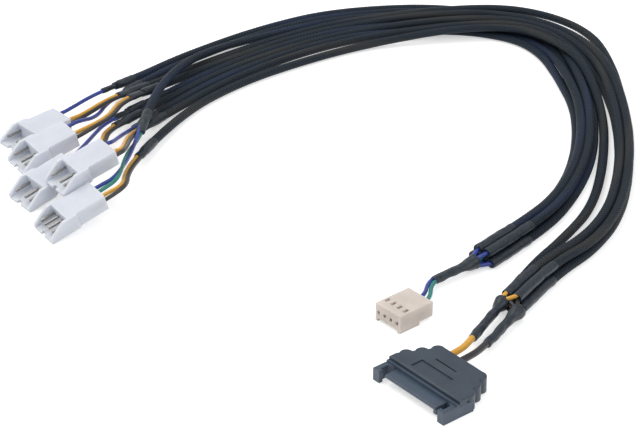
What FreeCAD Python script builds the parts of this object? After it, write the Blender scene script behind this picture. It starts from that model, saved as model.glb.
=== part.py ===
import FreeCAD
import Part
import math
import os

from FreeCAD import Placement, Rotation, Vector

# Fan splitter cable: one flat power plug and one control socket feed five fan plugs
# through ten braided sleeves. Millimetres, +Z up, the cable lies on the plane z = 0.

# Cords
WIRE_D = 1.28
POWER_WIRE_D = 2.0
SLEEVE_D = 2.6
PAIR_OFFSET = WIRE_D / 2 + 0.03
PAIR_SPREAD = 1.3
ARC_SHARE = 0.45
# Slack when edges are picked by their place, and the largest error of a tube's volume
NEAR = 0.01
VOLUME_SLACK = 0.01
# Layout numbers count from a point under the bend; the origin is amid the plugs.
LAYOUT_SHIFT = Vector(29.0, 38.0, 0.0)

# Heat-shrink tubes
SHRINK_WALL = 0.3
SHRINK_END_ROUND = 0.25
SHRINK_FIT = 0.02
FAN_SHRINK_ON_SLEEVE = 8.5
FAN_SHRINK_ON_WIRE = 5.4
FAN_SHRINK_TAPER = 2.5
SOURCE_SHRINK_L = 8.5
TAIL_STOP = 0.45
TAIL_ROOT = 1.0
SPLICE_MOUTH_W = 5.4
SPLICE_MOUTH_H = 4.9
SPLICE_FLARE = 5.0

# Fan plugs, in their own frame: nose at y = 0, tail at negative y, floor at z = 0
PIN_PITCH = 2.54
PIN_SIZE = 0.64
PIN_ROW_Z = 2.5
FAN_LENGTH = 20.5
FAN_HEIGHT = 5.0
FAN_BLOCK_W = 10.2
FAN_BLOCK_L = 10.6
FAN_SHROUD_W = 11.8
FAN_WALL = 1.0
FAN_FLOOR = 0.8
FAN_POCKET_L = 7.0
FAN_STEP_L = 0.8
FAN_SLOPE_L = 5.4
FAN_NOSE_H = 1.5
FAN_NOTCH_W = 2.0
FAN_NOTCH_X = 0.5
FAN_NOTCH_L = 1.1
FAN_PIN_TIP = 1.7
FAN_WIRE_DEPTH = 5.5
FAN_EDGE_ROUND = 0.35
WIRE_HOLE_GAP = 0.07

# Control socket, in its own frame: mating face at y = 0
HEADER_W = 10.16
HEADER_L = 12.5
HEADER_H = 5.8
HEADER_RIB_H = 0.9
HEADER_RIB_W = 0.95
HEADER_RIB_L = 7.5
HEADER_ROW_Z = 2.9
HEADER_CAVITY = 1.9
HEADER_MOUTH = 1.1
HEADER_MOUTH_L = 1.0
HEADER_TERMINAL = 1.7
HEADER_TERMINAL_BORE = 0.8
HEADER_TERMINAL_L = 6.5
HEADER_TERMINAL_CRIMP = 1.0
HEADER_WINDOW_W = 1.1
HEADER_WINDOW_L = 1.9
HEADER_WINDOW_Y = 2.4
HEADER_EDGE_ROUND = 0.3
HEADER_SEAT_GAP = 0.1

# Power plug, in its own frame: the cover's front ridge at y = 0
SATA_W = 28.6
SATA_H = 5.4
SATA_BASE_H = 3.5
SATA_BACK_L = 5.1
SATA_LIP_L = 0.9
SATA_LIP_H = 4.4
SATA_ARM_L = 5.7
SATA_ARM_W = 3.3
SATA_ARM_H = 3.9
SATA_HOOK = 0.9
SATA_ARM_FLARE = 1.0
SATA_HOOK_L = 1.3
SATA_TONGUE_W = 20.4
SATA_TONGUE_L = 5.0
SATA_TONGUE_Z = 2.1
SATA_TONGUE_T = 1.25
SATA_TONGUE_ROUND = 0.4
SATA_KEY_W = 1.2
SATA_KEY_H = 1.3
SATA_CONTACTS = 15
SATA_CONTACT_PITCH = 1.27
SATA_CONTACT_W = 0.85
SATA_CONTACT_T = 0.15
SATA_CONTACT_TIP = 0.7
COVER_L = 14.5
COVER_BACK_W = 16.6
COVER_FLOOR = 0.5
COVER_SEAT_GAP = 0.05
COVER_GRIPS = 3
COVER_GRIP_R = 2.1
COVER_EDGE_ROUND = 0.45
COVER_PANEL_W = 12.6
COVER_PANEL_L = 4.2
COVER_PANEL_X = 0.8
COVER_PANEL_Y = 3.6
COVER_PANEL_DEEP = 0.35
COVER_GROOVE_L = 8.2
COVER_GROOVE_W = 0.5
COVER_GROOVE_Y = 8.4
POWER_WIRE_Z = 2.9
YELLOW_WIRE_X = 6.35
BLACK_WIRE_X = 2.54
POWER_WIRE_DEPTH = 9.0

# Where the plugs lie: nose or ridge point, heading in degrees, nose-down pitch in degrees.
# Plug 4 leans on the wall of plug 3.
FAN_PLACES = {
    1: ((-97.9, 29.6, 0), 220.0, 4.0),
    2: ((-94.6, 17.2, 0), 212.0, 14.0),
    3: ((-91.2, -5.4, 0), 218.0, 14.0),
    4: ((-79.8, -9.0, 7.3), 214.0, 15.0),
    5: ((-82.2, -24.0, 0), 212.2, 17.0),
}
HEADER_PLACE = ((18.9, -74.1, 0), 220.5, 0.0)
SATA_PLACE = ((27.8, -107.9, 0), 219.5, 0.0)

# Sleeve routes from the source to the fan end, chosen by hand
POWER_ROUTES = {
    1: [(59.8, -62.35, 1.65), (68.8, -47.85, 1.65), (80.8, -34, 1.4), (90.8, -13.3, 1.35),
        (97, 19.5, 1.35), (98.6, 53, 1.35), (98.3, 85, 1.5), (92.5, 111, 2.8),
        (71, 124.5, 4.6), (45, 124.9, 4.4), (9.8, 121, 1.4), (-14.4, 107.6, 1.35),
        (-39.3, 87.8, 1.4), (-53.5, 73.6, 1.6), (-61.6, 63.7, 3.4)],
    2: [(58.4, -61.5, 4.55), (67.4, -47, 4.5), (80.7, -33.9, 4.2), (90.7, -13.2, 4.15),
        (97, 19.5, 4.15), (98.6, 53, 4.15), (96.6, 84.5, 4.6), (87.6, 107.2, 5.0),
        (69, 119, 4.6), (45, 122.2, 4.4), (11, 118.3, 1.4), (-12.8, 105.2, 1.35),
        (-37.3, 85.4, 1.4), (-50.6, 71.5, 2.2), (-58.2, 60.7, 4.2)],
    3: [(55.6, -59.7, 4.55), (64.6, -45.2, 4.5), (77.9, -31.9, 4.2), (87.9, -12, 4.15),
        (94, 20, 4.15), (95.6, 52.5, 4.15), (94.3, 83.5, 3.7), (85.3, 105.4, 5.0),
        (68, 116, 4.6), (45, 116.7, 4.4), (13.3, 113.3, 1.4), (-9.5, 100.8, 1.35),
        (-33.4, 81.2, 1.4), (-50.5, 60.9, 1.6), (-61.8, 44.6, 3.0)],
    4: [(57, -60.6, 1.65), (66, -46.1, 1.65), (78, -32, 1.4), (88, -12, 1.35),
        (94, 20, 1.35), (95.6, 52.5, 1.35), (92.2, 83, 1.5), (83, 103.5, 5.0),
        (67, 113, 4.6), (45, 111.3, 4.4), (15.6, 108.2, 1.4), (-6.2, 96.4, 1.35),
        (-29, 76.9, 1.4), (-45.5, 56.8, 1.45), (-54.7, 41.6, 2.8)],
    5: [(54.2, -58.85, 1.65), (61, -44.5, 1.65), (72, -28, 1.4), (82.5, -9, 1.35),
        (88.8, 20, 1.35), (91.8, 52, 1.35), (88.8, 82, 4.9), (80.5, 101.5, 5.2),
        (66, 110, 4.6), (45, 108.5, 4.4), (17.2, 103, 1.4), (-2.5, 91.9, 1.35),
        (-26, 74.5, 1.4), (-45.5, 51, 1.4), (-54.5, 24.9, 3.0)],
}
SIGNAL_ROUTES = {
    1: [(53.3, -38.5, 1.65), (64.5, -25.7, 1.6), (75.4, -8.2, 1.35), (85.4, 20, 1.35),
        (88.8, 52, 1.35), (86.9, 81.7, 1.35), (84.2, 103.75, 1.35), (71.5, 119.5, 1.35),
        (45, 133, 1.35), (6, 129.2, 1.35), (-20, 115.2, 1.35), (-45.7, 93.9, 1.4),
        (-59.6, 78.4, 1.6), (-67.4, 67.8, 3.2)],
    2: [(52.05, -37.4, 4.55), (63.25, -24.6, 4.4), (74.3, -7.4, 3.85), (84, 20, 3.85),
        (87.4, 52, 3.85), (84.95, 80.85, 3.85), (81.75, 102, 1.35), (70, 117, 1.35),
        (45, 130.3, 1.35), (7.2, 126.4, 1.35), (-18.35, 112.8, 1.35), (-43.5, 91.5, 1.4),
        (-56.6, 76.2, 1.6), (-63.3, 66.9, 1.9)],
    3: [(49.55, -35.2, 4.55), (60.75, -22.4, 4.4), (72.1, -5.8, 3.85), (81.2, 20, 3.85),
        (84.6, 52, 3.85), (81.05, 79.15, 3.85), (76.85, 98.5, 1.35), (66.5, 110.5, 1.35),
        (45, 119.4, 1.35), (12.1, 115.8, 1.35), (-11.1, 103, 1.35), (-35.3, 83.2, 1.4),
        (-52.3, 63.3, 1.5), (-62.3, 51.8, 1.9)],
    4: [(48.3, -34.1, 1.65), (59.5, -21.3, 1.6), (71, -5, 1.35), (79.8, 20, 1.35),
        (83.2, 52, 1.35), (79.1, 78.3, 1.35), (74.4, 96.75, 1.35), (65.2, 108, 1.35),
        (45, 114, 1.35), (14.5, 110.8, 1.35), (-7.8, 98.6, 1.35), (-31.3, 79, 1.4),
        (-47.9, 58.6, 1.45), (-56.3, 45.6, 1.9)],
    5: [(50.8, -36.3, 1.65), (62, -23.5, 1.6), (73.2, -6.6, 1.35), (82.6, 20, 1.35),
        (86, 52, 1.35), (83, 80, 1.35), (79.3, 100.25, 1.35), (68.5, 114.4, 1.35),
        (45, 127.4, 1.35), (8.4, 123.8, 1.35), (-16.7, 110.6, 1.35), (-39.5, 91, 4.2),
        (-49.6, 69.5, 6.6), (-54.2, 48.5, 7.4), (-55.8, 34, 7.3)],
}

# Bare stretches between a sleeve and its fan plug, beyond the points that the ends give
FAN_WIRE_MIDDLES = {
    ("power", 2): [(-66.5, 40, 7.0)],
    ("signal", 2): [(-71.5, 45.5, 3.4)],
    ("power", 3): [(-67.8, 23, 6.4)],
    ("signal", 3): [(-72, 29.5, 4.6)],
    ("power", 4): [(-60.5, 21, 9.5)],
    ("signal", 4): [(-64.5, 24.5, 8.0)],
    ("power", 5): [(-57.6, 1.5, 6.0)],
    ("signal", 5): [(-57.8, 8.5, 7.6)],
}
FAN_WIRE_FIRST_RUN = 10.0
FAN_WIRE_LAST_OUT = 6.0
# Cavity of each colour, counted across the plug
FAN_CAVITIES = {"blue": 1.5, "green": 0.5, "yellow": -0.5, "black": -1.5}
POWER_COLOURS = ("yellow", "black")

# Splices: the mouth where the thin wires fan out, and the run back to the plug
YELLOW_SPLICE = [(51.2, -66.4, 2.9), (41.8, -84.2, 2.3)]
BLACK_SPLICE = [(55.9, -69.4, 2.55), (45.2, -87.4, 2.0)]
SIGNAL_SPLICE = [(45.2, -42.6, 2.55), (32.2, -53, 2.0)]
POWER_SPLICE_L = 19.5
SIGNAL_SPLICE_L = 16.0
POWER_WIRE_ROOT = 8.0
SIGNAL_WIRE_ROOT = 2.0
POWER_WIRE_OUT = 4.0
SIGNAL_WIRE_OUT = 2.5
# Height of the thin wires' rows in the mouths: one row for each level of sleeves
YELLOW_ROWS = (2.25, 4.95)
BLACK_ROWS = (0.95, 3.6)
BLUE_ROWS = (0.95, 3.6)
GREEN_ROW = 2.27
UPPER_SLEEVES = (2, 3)
ROW_ORDER_POWER = {5: -1.0, 4: 0.0, 1: 1.0, 3: -0.5, 2: 0.5}
ROW_ORDER_SIGNAL = {4: -1.0, 5: 0.0, 1: 1.0, 3: -0.5, 2: 0.5}
ROW_PITCH = WIRE_D + 0.27


def lay(point):
    """A layout point in the part's frame."""
    return Vector(*point) + LAYOUT_SHIFT


def place(spot):
    """The placement that puts a plug's own frame at its spot."""
    point, heading, pitch = spot
    turn = Rotation(Vector(0, 0, 1), heading - 90) * Rotation(Vector(1, 0, 0), -pitch)
    return Placement(lay(point), turn)


def box(x0, x1, y0, y1, z0, z1):
    """A block between two corners."""
    return Part.makeBox(x1 - x0, y1 - y0, z1 - z0, Vector(x0, y0, z0))


def prism(outline, direction):
    """A solid swept straight from a closed outline of points."""
    return Part.Face(Part.makePolygon(outline + outline[:1])).extrude(direction)


def cord_path(name, points):
    """Straight runs joined by tangent arcs, each as large as its two runs allow."""
    edges = []
    radii = []
    start = points[0]
    for before, corner, after in zip(points, points[1:], points[2:]):
        back = before - corner
        ahead = after - corner
        half_turn = (math.pi - back.getAngle(ahead)) / 2
        reach = ARC_SHARE * min(back.Length, ahead.Length)
        radii.append(reach / math.tan(half_turn))
        back.normalize()
        ahead.normalize()
        first = corner + back * reach
        last = corner + ahead * reach
        inward = (back + ahead).normalize()
        middle = corner + inward * (radii[-1] / math.cos(half_turn) - radii[-1])
        edges.append(Part.LineSegment(start, first).toShape())
        edges.append(Part.Arc(first, middle, last).toShape())
        start = last
    edges.append(Part.LineSegment(start, points[-1]).toShape())
    path = Part.Wire(edges)
    smallest = min(radii) if radii else float("inf")
    print("%s length %.1f smallest radius %.1f" % (name, path.Length, smallest))
    return path


def tube(name, points, diameter):
    """A plain round cord along its route, with its volume compared with its length."""
    path = cord_path(name, points)
    ahead = points[1] - points[0]
    ring = Part.Wire(Part.makeCircle(diameter / 2, points[0], ahead))
    solid = path.makePipeShell([ring], True, False)
    expected = math.pi * diameter ** 2 / 4 * path.Length
    if abs(solid.Volume / expected - 1) > VOLUME_SLACK:
        print("%s volume is off by %.3f" % (name, solid.Volume / expected - 1))
    return solid


def turned(start, direction, outline):
    """A solid of revolution from a closed outline of (distance, radius) points along a line."""
    points = [Vector(distance, radius, 0) for distance, radius in outline]
    face = Part.Face(Part.makePolygon(points + points[:1]))
    solid = face.revolve(Vector(), Vector(1, 0, 0), 360)
    solid.Placement = Placement(start, Rotation(Vector(1, 0, 0), direction))
    return solid


def fan_shrink(start, direction, wire_radius):
    """A heat-shrink tube that steps from a sleeve down to the wires that leave it."""
    bore = SLEEVE_D / 2 + SHRINK_FIT
    slim_bore = wire_radius + SHRINK_FIT
    wide = bore + SHRINK_WALL
    slim = slim_bore + SHRINK_WALL
    back = -FAN_SHRINK_ON_SLEEVE
    front = FAN_SHRINK_ON_WIRE
    soft = SHRINK_END_ROUND
    outline = [(back, bore), (back, wide - soft), (back + soft, wide), (0, wide)]
    outline += [(FAN_SHRINK_TAPER, slim), (front - soft, slim), (front, slim - soft), (front, slim_bore)]
    if slim_bore < bore:
        outline += [(SHRINK_FIT, slim_bore), (SHRINK_FIT, bore)]
    return turned(start, direction, outline)


def source_shrink(start, direction):
    """A plain heat-shrink tube over the first stretch of a sleeve."""
    bore = SLEEVE_D / 2 + SHRINK_FIT
    wide = bore + SHRINK_WALL
    soft = SHRINK_END_ROUND
    end = SOURCE_SHRINK_L
    return turned(start, direction, [(0, bore), (0, wide - soft), (soft, wide),
                                     (end - soft, wide), (end, wide - soft), (end, bore)])


def fan_wire_x(colour):
    """Distance of a colour's cavity from the middle of its fan plug."""
    return FAN_CAVITIES[colour] * PIN_PITCH


def fan_housing(colours):
    """The white moulding: block for the terminals, open tray round the pins."""
    half_block = FAN_BLOCK_W / 2
    half_shroud = FAN_SHROUD_W / 2
    tail = -FAN_LENGTH
    shoulder = tail + FAN_BLOCK_L
    block = box(-half_block, half_block, tail, shoulder, 0, FAN_HEIGHT)
    outline = [Vector(-half_block, shoulder - FAN_STEP_L, 0), Vector(half_block, shoulder - FAN_STEP_L, 0),
               Vector(half_shroud, shoulder, 0), Vector(half_shroud, 0, 0),
               Vector(-half_shroud, 0, 0), Vector(-half_shroud, shoulder, 0)]
    shroud = prism(outline, Vector(0, 0, FAN_HEIGHT))
    body = block.fuse(shroud).removeSplitter()
    wedge = prism([Vector(-half_shroud, -FAN_SLOPE_L, FAN_HEIGHT), Vector(-half_shroud, 0, FAN_HEIGHT),
                   Vector(-half_shroud, 0, FAN_NOSE_H)], Vector(FAN_SHROUD_W, 0, 0))
    body = body.cut(wedge)
    rims = [e for e in body.Edges if rounds_off(e, shoulder)]
    body = body.makeFillet(FAN_EDGE_ROUND, rims)
    half_pocket = half_shroud - FAN_WALL
    cuts = [box(-half_pocket, half_pocket, -FAN_POCKET_L, 0, FAN_FLOOR, FAN_HEIGHT)]
    notch_left = FAN_NOTCH_X - FAN_NOTCH_W / 2
    cuts.append(box(notch_left, notch_left + FAN_NOTCH_W, -FAN_NOTCH_L, 0, 0, FAN_FLOOR))
    hole_r = WIRE_D / 2 + WIRE_HOLE_GAP
    for cavity in FAN_CAVITIES.values():
        mouth = Vector(cavity * PIN_PITCH, tail, PIN_ROW_Z)
        cuts.append(Part.makeCylinder(hole_r, FAN_WIRE_DEPTH, mouth, Vector(0, 1, 0)))
    cuts += [fan_pin(colour) for colour in colours]
    return body.cut(Part.makeCompound(cuts))


def rounds_off(edge, shoulder):
    """True for the long top edges of the block and the upright corners of its tail."""
    low, high = edge.BoundBox.ZMin, edge.BoundBox.ZMax
    at_tail = edge.BoundBox.YMax < -FAN_LENGTH + NEAR
    upright = high - low > FAN_HEIGHT - NEAR
    along_top = low > FAN_HEIGHT - NEAR and edge.BoundBox.YMax < shoulder
    return (at_tail and upright) or (along_top and not at_tail and edge.BoundBox.XLength < NEAR)


def fan_pin(colour):
    """One square pin, from the end of its wire to its tip inside the tray."""
    back = -FAN_LENGTH + FAN_WIRE_DEPTH
    x = fan_wire_x(colour)
    half = PIN_SIZE / 2
    pin = box(x - half, x + half, back, -FAN_PIN_TIP, PIN_ROW_Z - half, PIN_ROW_Z + half)
    tip = [e for e in pin.Edges if e.BoundBox.YMin > -FAN_PIN_TIP - NEAR]
    return pin.makeChamfer(half / 2, tip)


def header_terminal_box(x, size, y0, y1):
    """A square bar along the socket at one cavity."""
    half = size / 2
    return box(x - half, x + half, y0, y1, HEADER_ROW_Z - half, HEADER_ROW_Z + half)


def header_housing():
    """The beige socket: four cavities, latch windows on top, two key ribs below."""
    half = HEADER_W / 2
    body = box(-half, half, -HEADER_L, 0, HEADER_RIB_H, HEADER_H)
    long_edges = [e for e in body.Edges if e.BoundBox.YLength > HEADER_L - NEAR]
    top_edges = [e for e in body.Edges if e.BoundBox.ZMin > HEADER_H - NEAR and e.BoundBox.XLength > NEAR]
    rims = long_edges + top_edges
    body = body.makeFillet(HEADER_EDGE_ROUND, rims)
    for side in (-1, 1):
        inner = side * (half - HEADER_RIB_W)
        outer = side * half
        root = HEADER_RIB_H + HEADER_EDGE_ROUND
        rib = box(min(inner, outer), max(inner, outer), -HEADER_RIB_L, 0, 0, root)
        body = body.fuse(rib)
    body = body.removeSplitter()
    cuts = []
    half_window = HEADER_WINDOW_W / 2
    for cavity in FAN_CAVITIES.values():
        x = cavity * PIN_PITCH
        cuts.append(header_terminal_box(x, HEADER_MOUTH, -HEADER_MOUTH_L, 0))
        cuts.append(header_terminal_box(x, HEADER_CAVITY, -HEADER_L, -HEADER_MOUTH_L))
        y1 = -HEADER_WINDOW_Y
        cuts.append(box(x - half_window, x + half_window, y1 - HEADER_WINDOW_L, y1, HEADER_ROW_Z, HEADER_H))
    return body.cut(Part.makeCompound(cuts))


def header_terminals():
    """The two loaded crimp terminals: a square box spring that takes a pin."""
    solids = []
    front = -HEADER_MOUTH_L - HEADER_SEAT_GAP
    for cavity in header_cavities().values():
        x = cavity * PIN_PITCH
        shell = header_terminal_box(x, HEADER_TERMINAL, front - HEADER_TERMINAL_L, front)
        crimp = front - HEADER_TERMINAL_L + HEADER_TERMINAL_CRIMP
        bore = header_terminal_box(x, HEADER_TERMINAL_BORE, crimp, front)
        solids.append(shell.cut(bore))
    return Part.makeCompound(solids)


def header_cavities():
    """The cavities that hold a wire."""
    return {"blue": 0.5, "green": -0.5}


def sata_housing():
    """The plug's moulding: back block, lip, keyed tongue and two hooked guide arms."""
    half = SATA_W / 2
    body = box(-half, half, -SATA_BACK_L, 0, 0, SATA_BASE_H)
    lip = box(-half, half, 0, SATA_LIP_L, 0, SATA_LIP_H)
    body = body.fuse(lip)
    half_tongue = SATA_TONGUE_W / 2
    tongue = box(-half_tongue, half_tongue, 0, SATA_TONGUE_L, SATA_TONGUE_Z, SATA_TONGUE_Z + SATA_TONGUE_T)
    nose = [e for e in tongue.Edges if e.BoundBox.YMin > SATA_TONGUE_L - NEAR and e.BoundBox.XLength > NEAR]
    tongue = tongue.makeChamfer(SATA_TONGUE_ROUND, nose)
    key = box(-half_tongue, -half_tongue + SATA_KEY_W, 0, SATA_TONGUE_L - SATA_TONGUE_ROUND,
              SATA_TONGUE_Z - SATA_KEY_H, SATA_TONGUE_Z)
    arms = []
    for side in (-1, 1):
        stem = half - SATA_ARM_W / 2
        outline = [(half, 0), (half, SATA_ARM_L), (stem - SATA_HOOK, SATA_ARM_L),
                   (stem - SATA_HOOK, SATA_ARM_L - SATA_HOOK_L), (stem, SATA_ARM_L - SATA_HOOK_L),
                   (stem, SATA_LIP_L + SATA_ARM_FLARE), (half - SATA_ARM_W, SATA_LIP_L),
                   (half - SATA_ARM_W, 0)]
        arms.append(prism([Vector(side * x, y, 0) for x, y in outline], Vector(0, 0, SATA_ARM_H)))
    body = body.fuse([tongue, key] + arms).removeSplitter()
    return body.cut(sata_contacts())


def sata_contacts():
    """Fifteen flat contacts let into the underside of the tongue."""
    first = -(SATA_CONTACTS - 1) / 2 * SATA_CONTACT_PITCH
    solids = []
    for count in range(SATA_CONTACTS):
        x = first + count * SATA_CONTACT_PITCH
        solids.append(box(x - SATA_CONTACT_W / 2, x + SATA_CONTACT_W / 2, SATA_LIP_L,
                          SATA_TONGUE_L - SATA_CONTACT_TIP, SATA_TONGUE_Z, SATA_TONGUE_Z + SATA_CONTACT_T))
    return Part.makeCompound(solids)


def rear_cover():
    """The cover behind the ridge: slanted sides with wavy grips, panel and groove on top."""
    half_front = SATA_W / 2
    half_back = COVER_BACK_W / 2
    waist = -SATA_BACK_L / 2
    front = -COVER_SEAT_GAP
    corners = [(-half_front, front), (half_front, front), (half_front, waist),
               (half_back, -COVER_L), (-half_back, -COVER_L), (-half_front, waist)]
    outline = [Vector(x, y, COVER_FLOOR) for x, y in corners]
    body = prism(outline, Vector(0, 0, SATA_H - COVER_FLOOR))
    for side in (-1, 1):
        for count in range(COVER_GRIPS):
            share = (count + 0.5) / COVER_GRIPS
            x = side * (half_front + (half_back - half_front) * share - COVER_GRIP_R / 2)
            y = waist - (COVER_L + waist) * share
            bump = Part.makeCylinder(COVER_GRIP_R, SATA_H - COVER_FLOOR, Vector(x, y, COVER_FLOOR))
            body = body.fuse(bump)
    body = body.removeSplitter()
    top = [e for e in body.Edges if e.BoundBox.ZMin > SATA_H - NEAR]
    body = body.makeFillet(COVER_EDGE_ROUND, top)
    panel = box(COVER_PANEL_X - COVER_PANEL_W / 2, COVER_PANEL_X + COVER_PANEL_W / 2,
                -COVER_PANEL_Y - COVER_PANEL_L / 2, -COVER_PANEL_Y + COVER_PANEL_L / 2,
                SATA_H - COVER_PANEL_DEEP, SATA_H)
    groove = box(COVER_PANEL_X - COVER_GROOVE_L / 2, COVER_PANEL_X + COVER_GROOVE_L / 2,
                 -COVER_GROOVE_Y - COVER_GROOVE_W, -COVER_GROOVE_Y, SATA_H - COVER_PANEL_DEEP, SATA_H)
    gap = COVER_SEAT_GAP
    seat = box(-SATA_W, SATA_W, -SATA_BACK_L - gap, SATA_LIP_L, 0, SATA_BASE_H + gap)
    cuts = [panel, groove, seat]
    for x in (YELLOW_WIRE_X, BLACK_WIRE_X):
        cuts.append(Part.makeCylinder(POWER_WIRE_D / 2 + WIRE_HOLE_GAP, POWER_WIRE_DEPTH,
                                      Vector(x, -COVER_L, POWER_WIRE_Z), Vector(0, 1, 0)))
    return body.cut(Part.makeCompound(cuts))


def export(name, shape):
    """Write one node."""
    shape.exportStep("parts/%s.step" % name)


def moved(shape, placement):
    """A copy of a plug's piece at its place on the floor."""
    copy = shape.copy()
    copy.Placement = placement * copy.Placement
    return copy


def end_direction(route):
    """Unit vector out of the fan end of a sleeve."""
    return (route[-1] - route[-2]).normalize()


def side_of(direction):
    """Level unit vector to the right of a direction."""
    return direction.cross(Vector(0, 0, 1)).normalize()


def pair_side(kind, number, colour):
    """Which side of its sleeve's middle a thin wire leaves on: 1, -1, or 0 for a lone wire."""
    if kind == "signal" and number != 5:
        return 0
    return 1 if colour in ("yellow", "blue") else -1


def fan_wire_points(number, kind, colour, route):
    """A thin wire from its sleeve's end face to its pin inside the fan plug."""
    side = pair_side(kind, number, colour)
    spot = place(FAN_PLACES[number])
    tail = -FAN_LENGTH
    x = fan_wire_x(colour)
    approach = spot.multVec(Vector(x, tail - FAN_WIRE_LAST_OUT, PIN_ROW_Z))
    middles = [lay(middle) for middle in FAN_WIRE_MIDDLES.get((kind, number), [])]
    ahead = end_direction(route)
    offset = side_of(ahead) * (side * PAIR_OFFSET)
    corner = route[-1] + ahead * FAN_WIRE_FIRST_RUN
    onward = ((middles + [approach])[0] - corner).normalize()
    inside = offset.dot(onward) / (1 + ahead.dot(onward))
    points = [route[-1] + offset, corner + offset - ahead * inside]
    for middle in middles:
        points.append(middle + side_of(onward) * (side * PAIR_OFFSET * PAIR_SPREAD))
    points.append(approach)
    points.append(spot.multVec(Vector(x, tail + FAN_WIRE_DEPTH, PIN_ROW_Z)))
    return points


def splice_shrink(points, length, wire_radius):
    """A splice tube: round over the plug's wire, flared to a mouth for the thin wires."""
    mouth, bend = [lay(p) for p in points]
    back = (bend - mouth).normalize()
    frame = Rotation(side_of(back), Vector(0, 0, 1), back, "XZY")
    slim = wire_radius + SHRINK_WALL
    ring_wide = Part.Wire(Part.Ellipse(Vector(), SPLICE_MOUTH_W / 2, SPLICE_MOUTH_H / 2).toShape())
    ring_wide.Placement = Placement(mouth, frame)
    ring_slim = Part.Wire(Part.makeCircle(slim))
    ring_slim.Placement = Placement(mouth + back * SPLICE_FLARE, frame)
    flare = Part.makeLoft([ring_wide, ring_slim], True, True)
    stem = turned(mouth + back * SPLICE_FLARE, back,
                  [(0, 0), (0, slim), (length - SPLICE_FLARE - SHRINK_END_ROUND, slim),
                   (length - SPLICE_FLARE, slim - SHRINK_END_ROUND), (length - SPLICE_FLARE, 0)])
    return flare.fuse(stem).removeSplitter()


def tail_wire(mouth, aim, row_offset, height, sleeve_start, start_offset):
    """A straight thin wire from a splice's mouth to the start of a sleeve."""
    across = side_of(aim)
    first = Vector(mouth.x, mouth.y, height) + across * row_offset
    last = sleeve_start + start_offset
    ahead = (last - first).normalize()
    last = last - ahead * TAIL_STOP
    first = first - ahead * TAIL_ROOT
    return Part.makeCylinder(WIRE_D / 2, (last - first).Length, first, ahead)


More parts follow.
